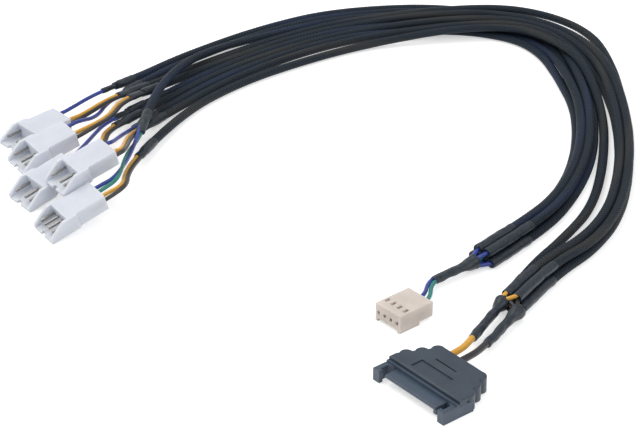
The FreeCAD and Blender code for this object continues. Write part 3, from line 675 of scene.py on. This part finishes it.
def stretch(line: list[Vector], start: float, end: float, spacing: float) -> list[Vector]:
    """Take evenly spaced points from part of a line, running straight on past its ends.

    Args:
        line: Points read from a spline.
        start: Distance along the line at which to begin, negative before the line's start.
        end: Distance at which to stop, which may lie past the line's end.
        spacing: Largest distance between the points.

    Returns:
        The points, in order.
    """
    reach = [0.0]
    for a, b in zip(line, line[1:]):
        reach.append(reach[-1] + (b - a).length)
    count = max(2, math.ceil((end - start) / spacing) + 1)
    points = []
    index = 0
    for step in range(count):
        at = start + (end - start) * step / (count - 1)
        while index < len(line) - 2 and reach[index + 1] < at:
            index += 1
        share = (at - reach[index]) / (reach[index + 1] - reach[index])
        points.append(line[index].lerp(line[index + 1], share))
    return points


# A section gives half width and half height of a tube, and its skin's offset, at a distance and turn.
Section = Callable[[float, float], tuple[float, float, float]]


@dataclass
class TubeMesh:
    """Gathers tubes round lines of points into one mesh object with a length and turn UV map."""

    name: str
    sides: int
    start: float = 0.0
    weld: float = 0.0001 * MM
    smooth_angle: float = math.radians(50)
    vertices: list[Vector] = field(default_factory=list)
    faces: list[tuple[int, ...]] = field(default_factory=list)
    places: list[tuple[float, float]] = field(default_factory=list)

    def add(self, line: list[Vector], section: Section, mouth_depth: float = 0.0) -> None:
        """Add one closed tube.

        Args:
            line: Centres of the tube's rings.
            section: Shape of the ring at each distance and turn.
            mouth_depth: How far the first end is hollowed, zero for a flat end.
        """
        first = len(self.vertices)
        away = 0.0
        rings = len(line)
        for index, centre in enumerate(line):
            ahead = (line[min(index + 1, rings - 1)] - line[max(index - 1, 0)]).normalized()
            across = side_of(ahead)
            lift = across.cross(ahead)
            if index:
                away += (centre - line[index - 1]).length
            for step in range(self.sides + 1):
                turn = step / self.sides
                angle = 2 * math.pi * turn
                half_width, half_height, skin = section(away, turn % 1.0)
                spoke = across * (math.cos(angle) * half_width) + lift * (math.sin(angle) * half_height)
                self.vertices.append(centre + spoke + spoke.normalized() * skin)
                self.places.append((self.start + away, turn))
        row = self.sides + 1
        for index in range(rings - 1):
            low = first + index * row
            for step in range(self.sides):
                self.faces.append((low + step, low + row + step, low + row + step + 1, low + step + 1))
        self._cap(first, line[0] + (line[1] - line[0]).normalized() * mouth_depth, False)
        self._cap(first + (rings - 1) * row, line[-1], True)

    def _cap(self, low: int, centre: Vector, far: bool) -> None:
        """Close one end with a fan of triangles to a centre point.

        Args:
            low: Index of the end ring's first vertex.
            centre: The point at which the triangles meet.
            far: Whether this is the tube's far end, which faces the other way.
        """
        self.vertices.append(centre)
        self.places.append(self.places[low])
        hub = len(self.vertices) - 1
        for step in range(self.sides):
            pair = (low + step, low + step + 1) if not far else (low + step + 1, low + step)
            self.faces.append((pair[0], pair[1], hub))

    def finish(self) -> Object:
        """Make the object, smooth over its rings and sharp at its ends.

        Returns:
            The tubes as one object.
        """
        mesh = bpy.data.meshes.new(self.name)
        mesh.from_pydata(self.vertices, [], self.faces)
        layer = mesh.uv_layers.new(name="braid")
        for loop in mesh.loops:
            layer.data[loop.index].uv = self.places[loop.vertex_index]
        piece = bpy.data.objects.new(self.name, mesh)
        bpy.context.scene.collection.objects.link(piece)
        bpy.ops.object.select_all(action="DESELECT")
        piece.select_set(True)
        bpy.context.view_layer.objects.active = piece
        bpy.ops.object.mode_set(mode="EDIT")
        bpy.ops.mesh.select_all(action="SELECT")
        bpy.ops.mesh.remove_doubles(threshold=self.weld)
        bpy.ops.mesh.normals_make_consistent(inside=False)
        bpy.ops.object.mode_set(mode="OBJECT")
        bpy.ops.object.shade_smooth_by_angle(angle=self.smooth_angle)
        return piece


@dataclass
class BraidedSleeve:
    """One braided sleeve with the wires of its feed inside it."""

    number: int
    feed: Feed
    points: list[Point]
    half_width: float = 1.5 * MM
    half_height: float = 1.2 * MM
    strand_lift: float = 0.12 * MM
    ring_spacing: float = 0.3 * MM
    sides: int = 24
    resolution: int = 64
    sway: float = 0.05
    sway_length: float = 9.0 * MM
    sway_seed: float = 3.7
    pitches_apart: int = 16

    @property
    def name(self) -> str:
        """Name of the CAD node that the sleeve stands for."""
        return f"{self.feed.value}_sleeve_{self.number}"

    @property
    def finish(self) -> BraidFinish:
        """The braid over this feed's wires."""
        return POWER_BRAID if self.feed is Feed.POWER else SIGNAL_BRAID

    def section(self, away: float, turn: float) -> tuple[float, float, float]:
        """Flat oval ring with the diamonds of the braid standing proud.

        Args:
            away: Distance along the sleeve.
            turn: Share of a full turn round it.

        Returns:
            Half width, half height and the skin's offset.
        """
        along = away / self.finish.pitch
        around = turn * self.finish.carriers
        bulge = abs(math.sin(math.pi * (along + around)) * math.sin(math.pi * (along - around)))
        spot = Vector((away / self.sway_length, self.number * self.sway_seed, 0.0))
        sway = 1.0 + self.sway * noise.noise(spot)
        return self.half_width * sway, self.half_height / sway, self.strand_lift * (bulge - 0.5)

    def build(self) -> list[Vector]:
        """Returns:
            Points along its spline, for the pieces that sit on it.
        """
        line = CordLine(self.name + "_line", self.points, self.resolution).read()
        length = line_length(line)
        centres = stretch(line, 0.0, length, self.ring_spacing)
        # An even count of pitches, so that the wire lies at another turn and the weave stays put.
        start = self.pitches_apart * self.number * self.finish.pitch
        tube = TubeMesh(self.name + "_braid", self.sides, start)
        tube.add(centres, self.section)
        piece = tube.finish()
        dress(piece, self.finish)
        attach(piece, BODY)
        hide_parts(self.name)
        LOG.info("%s: %.0f mm", piece.name, length / MM)
        return line


@dataclass
class InsulatedWire:
    """One bare stretch of insulated wire between a sleeve or splice and a plug."""

    node: str
    colour: Colour
    points: list[Point]
    diameter: float = WIRE_D
    measure_steps: int = 24
    drawn_steps: int = 16
    round_steps: int = 4

    def build(self) -> None:
        line = CordLine(self.node + "_measure", self.points, self.measure_steps).read()
        cord = CordLine(self.node + "_cord", self.points, self.drawn_steps)
        cord.curve.bevel_depth = self.diameter / 2
        cord.curve.bevel_resolution = self.round_steps
        cord.curve.use_fill_caps = True
        dress(cord.object, INSULATION[self.colour])
        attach(cord.object, BODY)
        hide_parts(self.node)
        line_length(line)
        LOG.info("%s: %.0f mm", cord.object.name, line_length(line) / MM)


def ease(share: float) -> float:
    """Smooth step from 0 to 1."""
    share = min(1.0, max(0.0, share))
    return share * share * (3 - 2 * share)


@dataclass
class ShrinkTubes:
    """Heat-shrink tubes of one CAD node, each over the end of a sleeve or a splice."""

    node: str
    wall: float = 0.3 * MM
    lip: float = 0.35 * MM
    rim_share: float = 0.55
    crease_depth: float = 0.16 * MM
    crease_length: float = 3.2 * MM
    crease_fade: float = 1.5 * MM
    crease_radius: float = 1.3
    seed_skew: float = 1.7
    spacing: float = 0.3 * MM
    sides: int = 28
    tubes: TubeMesh = field(init=False)

    def __post_init__(self) -> None:
        """Start an empty mesh for the tubes."""
        self.tubes = TubeMesh(self.node + "_skin", self.sides)

    def _crease(self, away: float, turn: float, seed: float) -> float:
        """Offset of a tube's skin: soft lengthwise creases and dents.

        Args:
            away: Distance along the tube.
            turn: Share of a full turn round it.
            seed: Sets this tube's creases apart from the others'.

        Returns:
            The offset, inwards where it is negative.
        """
        angle = 2 * math.pi * turn
        round_spot = Vector((math.cos(angle), math.sin(angle), 0.0)) * self.crease_radius
        spot = round_spot + Vector((seed, seed * self.seed_skew, away / self.crease_length))
        return self.crease_depth * noise.noise(spot)

    def add(
        self,
        line: list[Vector],
        near: tuple[float, float],
        far: tuple[float, float],
        step: tuple[float, float],
        seed: float,
        mouth_depth: float = 0.0,
    ) -> None:
        """Add a tube that eases from one oval to another.

        Args:
            line: Centres of its rings.
            near: Half width and half height of what it covers at its first end.
            far: Half width and half height of what it covers at its far end.
            step: Distances between which it eases from near to far.
            seed: Sets this tube's creases apart from the others'.
            mouth_depth: How far its first end is hollowed.
        """
        length = line_length(line)

        def section(away: float, turn: float) -> tuple[float, float, float]:
            """Oval at this distance, rolled in at both rims.

            Args:
                away: Distance along the tube.
                turn: Share of a full turn round it.

            Returns:
                Half width, half height and the skin's offset.
            """
            share = ease((away - step[0]) / (step[1] - step[0]))
            edge = min(away, length - away)
            rim = self.wall * (self.rim_share + (1.0 - self.rim_share) * min(1.0, edge / self.lip))
            half_width = near[0] + (far[0] - near[0]) * share + rim
            half_height = near[1] + (far[1] - near[1]) * share + rim
            fade = min(1.0, edge / self.crease_fade)
            return half_width, half_height, self._crease(away, turn, seed) * fade

        self.tubes.add(line, section, mouth_depth)

    def build(self) -> None:
        """Finish the mesh, dress it and put it in its node's place."""
        piece = self.tubes.finish()
        dress(piece, SHRINK_SKIN)
        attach(piece, BODY)
        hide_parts(self.node)
        LOG.info("%s", piece.name)


@dataclass
class SpliceTails:
    """The short wire ends of one colour between a splice and the tubes on the sleeves."""

    colour: Colour
    runs: list[tuple[Vector, Vector]]
    sides: int = 14
    spacing: float = 0.5 * MM
    root: float = 1.2 * MM
    line_steps: int = 12

    def build(self, lines: list[list[Vector]], reach: float) -> None:
        """Model each end as a wire that bends into its tube's mouth, dress them and replace their node.

        Args:
            lines: The sleeves' lines, each of which starts where its wires go in.
            reach: How far the tubes stand out in front of the sleeves.
        """
        node = f"{self.colour.value}_splice_tails"
        tubes = TubeMesh(node + "_wires", self.sides)
        for first, inner in self.runs:
            sleeve = min(lines, key=lambda line: (line[0] - inner).length)
            ahead = (sleeve[1] - sleeve[0]).normalized()
            mouth = inner - ahead * reach
            points = [first, mouth, mouth.lerp(inner, 0.5), inner + ahead * self.root]
            line = CordLine(node + "_line", [tuple(p) for p in points], self.line_steps).read()
            rings = stretch(line, 0.0, line_length(line), self.spacing)
            tubes.add(rings, lambda away, turn: (WIRE_D / 2, WIRE_D / 2, 0.0))
        piece = tubes.finish()
        dress(piece, INSULATION[self.colour])
        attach(piece, BODY)
        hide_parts(node)
        LOG.info("%s: %d ends", piece.name, len(self.runs))


@dataclass
class Splice:
    """A splice tube: a flared mouth over the thin wires, slim over the plug's own wire.

    The places of its mouth, its bend and its wires are in millimetres, like the routes.
    """

    node: str
    feed: Feed
    plug: Place
    exits: dict[Colour, float]
    mouth: Point
    bend: Point
    length: float
    core: tuple[float, float]
    drawn_mouth: Point | None = None
    wire_d: float = WIRE_D
    wire_root: float = 2.0
    wire_bends: tuple[float, ...] = (-3.5, 1.0)
    wire_ends: tuple[float, float] = (-15.0, -7.6)
    wire_row: float = 2.9
    wire_offset: float = 0.67
    row_pitch: float = 1.55
    tail_root: float = 1.0
    tail_stop: float = 0.45
    mouth_half: tuple[float, float] = (2.1 * MM, 1.95 * MM)
    flare: tuple[float, float] = (0.4 * MM, 6.0 * MM)
    mouth_depth: float = 1.6 * MM
    crease_depth: float = 0.3 * MM
    wire_sink: float = 1.0 * MM
    wire_gather: float = 0.7
    seed: float = 0.0

    def plug_wires(self) -> None:
        """Build the wires between the splice and its plug, side by side where they are two."""
        mouth = Vector(self.mouth)
        bend = Vector(self.bend)
        back = (bend - mouth).normalized()
        for sign, (colour, x) in zip((1, -1), self.exits.items()):
            offset = side_of(back) * (sign * self.wire_offset if len(self.exits) == 2 else 0.0)
            points = [mouth + back * self.wire_root + offset]
            points += [bend + back * reach + offset for reach in self.wire_bends]
            points += [self.plug.at(x, y, self.wire_row) for y in self.wire_ends]
            name = f"{self.node.split('_')[0]}_{colour.value}_wire"
            InsulatedWire(name, colour, metres(points), self.wire_d).build()

    def _tails(self, colour: Colour) -> list[tuple[Vector, Vector]]:
        """Work out where the wire ends of a colour start in the mouth and stop at the sleeves.

        Args:
            colour: The wires' colour.

        Returns:
            First and last point of each wire end.
        """
        mouth = Vector(self.mouth)
        across = side_of(mouth - Vector(self.bend))
        tails = []
        for number, rank in ROW_ORDER[self.feed].items():
            colours = colours_in(self.feed, number)
            if colour not in colours:
                continue
            height = ROW_HEIGHTS[colour][number in UPPER_SLEEVES]
            first = Vector((mouth.x, mouth.y, height)) + across * (rank * self.row_pitch)
            lift = self.wire_offset if colour in (Colour.YELLOW, Colour.GREEN) else -self.wire_offset
            last = Vector(ROUTES[self.feed][number][0]) + UP * (lift if len(colours) == 2 else 0.0)
            ahead = (last - first).normalized()
            tails.append((first - ahead * self.tail_root, last - ahead * self.tail_stop))
        return tails

    def build(self, lines: list[list[Vector]], reach: float) -> None:
        """Model the tube from its mouth back towards the plug, and the wire ends in its mouth.

        Args:
            lines: The sleeves' lines, each of which starts where its wires go in.
            reach: How far the tubes stand out in front of the sleeves.
        """
        start = Vector(self.drawn_mouth or self.mouth) * MM
        back = (Vector(self.bend) * MM - start).normalized()
        tubes = ShrinkTubes(self.node, crease_depth=self.crease_depth)
        line = stretch([start, start + back * self.length], 0.0, self.length, tubes.spacing)
        tubes.add(line, self.mouth_half, self.core, self.flare, self.seed, self.mouth_depth)
        tubes.build()
        tails = {colour: self._tails(colour) for colour in self.exits}
        firsts = [first for runs in tails.values() for first, _ in runs]
        centre = sum(firsts, Vector()) / len(firsts)
        root = start + back * self.wire_sink
        for colour, runs in tails.items():
            spread = [
                (root + (first - centre) * self.wire_gather * MM, last * MM) for first, last in runs
            ]
            SpliceTails(colour, spread).build(lines, reach)


SleeveLines = dict[tuple[Feed, int], list[Vector]]


@dataclass
class Harness:
    """All the cords: ten sleeves, the wires at both ends, the splices and the shrink tubes."""

    sleeve_half: tuple[float, float] = (1.3 * MM, 1.15 * MM)
    single_half: tuple[float, float] = (0.64 * MM, 0.64 * MM)
    pair_half: tuple[float, float] = (1.31 * MM, 0.64 * MM)
    fan_shrink_back: float = 7.5 * MM
    fan_shrink_front: float = 6.5 * MM
    fan_shrink_ease: tuple[float, float] = (6.5 * MM, 9.5 * MM)
    source_shrink_start: float = -5.6 * MM
    source_shrink_end: float = 13.0 * MM
    source_mouth_depth: float = 0.8 * MM
    source_seed: float = 2.3
    shrink_stagger: float = 0.8 * MM

    def build(self) -> None:
        """Build every cord and the pieces on it."""
        lines = self._sleeves()
        for number, plug in FAN_PLUGS.items():
            for feed, routes in ROUTES.items():
                for colour, points in plug.wires(number, feed, routes[number]).items():
                    InsulatedWire(f"fan_{number}_{colour.value}_wire", colour, metres(points)).build()
        for splice in SPLICES:
            splice.plug_wires()
        self._fan_shrinks(lines)
        self._source_shrinks(lines)
        for splice in SPLICES:
            splice.build(list(lines.values()), -self.source_shrink_start)

    def _stagger(self, count: int) -> float:
        """How much longer or shorter a shrink tube was cut, in five steps that repeat."""
        return self.shrink_stagger * (count * 2 % 5 - 2)

    def _sleeves(self) -> SleeveLines:
        """Build the sleeves.

        Returns:
            Points along each sleeve, by feed and number.
        """
        lines = {}
        for feed, routes in ROUTES.items():
            for number, points in routes.items():
                lines[feed, number] = BraidedSleeve(number, feed, metres(points)).build()
        return lines

    def _fan_shrinks(self, lines: SleeveLines) -> None:
        """Build the shrink tubes at the fan ends, which narrow onto one wire or a pair.

        Args:
            lines: Points along each sleeve.
        """
        for number in POWER_ROUTES:
            tubes = ShrinkTubes(f"fan_{number}_heatshrinks")
            for feed in Feed:
                line = lines[feed, number]
                end = line_length(line)
                back = self.fan_shrink_back + self._stagger(number + len(feed.value))
                rings = stretch(line, end - back, end + self.fan_shrink_front, tubes.spacing)
                paired = len(colours_in(feed, number)) == 2
                far = self.pair_half if paired else self.single_half
                tubes.add(rings, self.sleeve_half, far, self.fan_shrink_ease, number + len(feed.value))
            tubes.build()

    def _source_shrinks(self, lines: SleeveLines) -> None:
        """Build the shrink tubes at the splices' ends of the sleeves.

        Args:
            lines: Points along each sleeve.
        """
        for feed in Feed:
            tubes = ShrinkTubes(f"{feed.value}_source_heatshrinks")
            for number in POWER_ROUTES:
                line = lines[feed, number]
                far = self.source_shrink_end + 2 * self._stagger(number)
                rings = stretch(line, self.source_shrink_start, far, tubes.spacing)
                half = self.sleeve_half
                seed = number * self.source_seed
                tubes.add(rings, half, half, (0.0, far), seed, self.source_mouth_depth)
            tubes.build()


@dataclass
class Plug:
    """A rigid plug whose CAD nodes keep their shapes: soft edges and real finishes."""

    nodes: dict[str, Finish]
    edge: float = 0.12 * MM
    edge_segments: int = 2
    edge_angle: float = math.radians(35)
    weld: float = 0.001 * MM

    def build(self) -> None:
        """Dress each node and round its edges a little."""
        for node, finish in self.nodes.items():
            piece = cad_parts[node]
            dress(piece, finish)
            LOG.info("%s dressed", node)
            if finish is TIN_PLATE:
                continue
            weld = piece.modifiers.new("joined_edges", "WELD")
            weld.merge_threshold = self.weld
            bevel = piece.modifiers.new("soft_edges", "BEVEL")
            bevel.width = self.edge
            bevel.segments = self.edge_segments
            bevel.limit_method = "ANGLE"
            bevel.angle_limit = self.edge_angle
            bevel.harden_normals = True


@dataclass(frozen=True)
class Lamp:
    """One square soft lamp aimed at the cable, in metres and watts."""

    place: Point
    size: float
    power: float
    aim: Point = (0.03, 0.05, 0.0)

    def build(self) -> None:
        """Set the lamp up."""
        data = bpy.data.lights.new("soft_lamp", "AREA")
        data.size = self.size
        data.energy = self.power
        lamp = bpy.data.objects.new("soft_lamp", data)
        lamp.location = self.place
        beam = Vector(self.aim) - Vector(self.place)
        lamp.rotation_euler = beam.to_track_quat("-Z", "Y").to_euler()
        bpy.context.scene.collection.objects.link(lamp)


@dataclass
class Studio:
    """White floor, soft lamps and the photograph's camera, in metres; the lens is in mm."""

    camera_place: Point = (0.029, -0.627, 0.3777)
    camera_tilt: float = math.radians(60)
    lens: float = 140.625
    sensor: float = 36.0
    floor_size: float = 6.0
    lamps: tuple[Lamp, ...] = (Lamp((-0.5, 0.3, 0.9), 0.9, 5.4), Lamp((0.7, -0.4, 0.8), 0.7, 2.6))
    sky: float = 0.58
    card: str = "F4F4F4"
    card_roughness: float = 0.9
    floor_glow: float = 0.5

    def build(self) -> None:
        """Build the stage and the camera."""
        self._camera()
        self._floor()
        self._world()
        for lamp in self.lamps:
            lamp.build()
        bpy.context.scene.view_settings.view_transform = "Standard"

    def _camera(self) -> None:
        """Camera at the photograph's angle."""
        data = bpy.data.cameras.new("photo_camera")
        data.lens = self.lens
        data.sensor_width = self.sensor
        data.sensor_fit = "HORIZONTAL"
        camera = bpy.data.objects.new("photo_camera", data)
        camera.location = self.camera_place
        camera.rotation_euler = (self.camera_tilt, 0.0, 0.0)
        bpy.context.scene.collection.objects.link(camera)
        bpy.context.scene.camera = camera

    def _floor(self) -> None:
        """White card floor that the camera sees near white, with the shadows kept."""
        bpy.ops.object.select_all(action="DESELECT")
        bpy.ops.mesh.primitive_plane_add(size=self.floor_size, location=(0.0, 0.0, 0.0))
        floor = bpy.context.active_object
        floor.name = "studio_floor"
        material, shader = new_material("white_card")
        tree = material.node_tree
        set_inputs(shader, {"Base Color": linear(self.card), "Roughness": self.card_roughness})
        seen = add_node(tree, "LightPath")
        direct = add_node(
            tree, "Math",
            {0: seen["Is Camera Ray"], 1: seen["Is Glossy Ray"]}, operation="MAXIMUM",
        )
        glow = add_node(tree, "Math", {0: direct[0], 1: self.floor_glow}, operation="MULTIPLY")
        light = add_node(tree, "Emission", {"Strength": glow[0]})
        both = add_node(tree, "AddShader", {0: shader.outputs[0], 1: light[0]})
        set_inputs(tree.nodes["Material Output"], {"Surface": both[0]})
        floor.data.materials.append(material)

    def _world(self) -> None:
        """Even white surroundings, full white only where they are seen."""
        world = bpy.data.worlds.new("white_room")
        bpy.context.scene.world = world
        world.use_nodes = True
        tree = world.node_tree
        seen = add_node(tree, "LightPath")
        direct = add_node(
            tree, "Math",
            {0: seen["Is Camera Ray"], 1: seen["Is Transmission Ray"]},
            operation="MAXIMUM",
        )
        strength = add_node(tree, "MapRange", {0: direct[0], 3: self.sky, 4: 1.0})
        white = (1.0, 1.0, 1.0, 1.0)
        set_inputs(tree.nodes["Background"], {"Strength": strength[0], "Color": white})


POWER_SPLICE = {
    "feed": Feed.POWER, "plug": SATA_PLACE, "core": (1.0 * MM, 1.0 * MM), "wire_d": POWER_WIRE_D,
    "wire_root": 8.0, "wire_bends": (0.0,), "wire_ends": (-18.5, -5.5),
}
# The yellow tube is drawn longer than in the part's source, so that its mouth covers the wire ends.
SPLICES = (
    Splice("sata_yellow_splice_heatshrink", exits={Colour.YELLOW: 6.35}, mouth=(80.2, -28.4, 2.9),
           bend=(70.8, -46.2, 2.3), length=21.0 * MM, drawn_mouth=(80.9, -27.1, 2.9), seed=1.0,
           **POWER_SPLICE),
    Splice("sata_black_splice_heatshrink", exits={Colour.BLACK: 2.54}, mouth=(84.9, -31.4, 2.55),
           bend=(74.2, -49.4, 2.0), length=19.5 * MM, seed=4.0, **POWER_SPLICE),
    Splice("header_splice_heatshrink", Feed.SIGNAL, HEADER_PLACE,
           {Colour.BLUE: 1.27, Colour.GREEN: -1.27}, (74.2, -4.6, 2.55), (61.2, -15.0, 2.0), 16.0 * MM,
           (1.31 * MM, 0.72 * MM), seed=7.0),
)

PLUGS = [
    Plug({"sata_housing": GLOSSY_PBT, "sata_rear_cover": BLACK_PBT, "sata_contacts": TIN_PLATE}),
    Plug({"header_housing": BEIGE_NYLON, "header_terminals": TIN_PLATE}),
]
PLUGS += [Plug({f"fan_{n}_housing": WHITE_NYLON, f"fan_{n}_pins": TIN_PLATE}) for n in POWER_ROUTES]


def main() -> None:
    """Build the stage, the cords and the plugs."""
    logging.basicConfig(level=logging.INFO, format="%(message)s")
    Studio().build()
    Harness().build()
    for plug in PLUGS:
        plug.build()


if __name__ == "__main__":
    main()
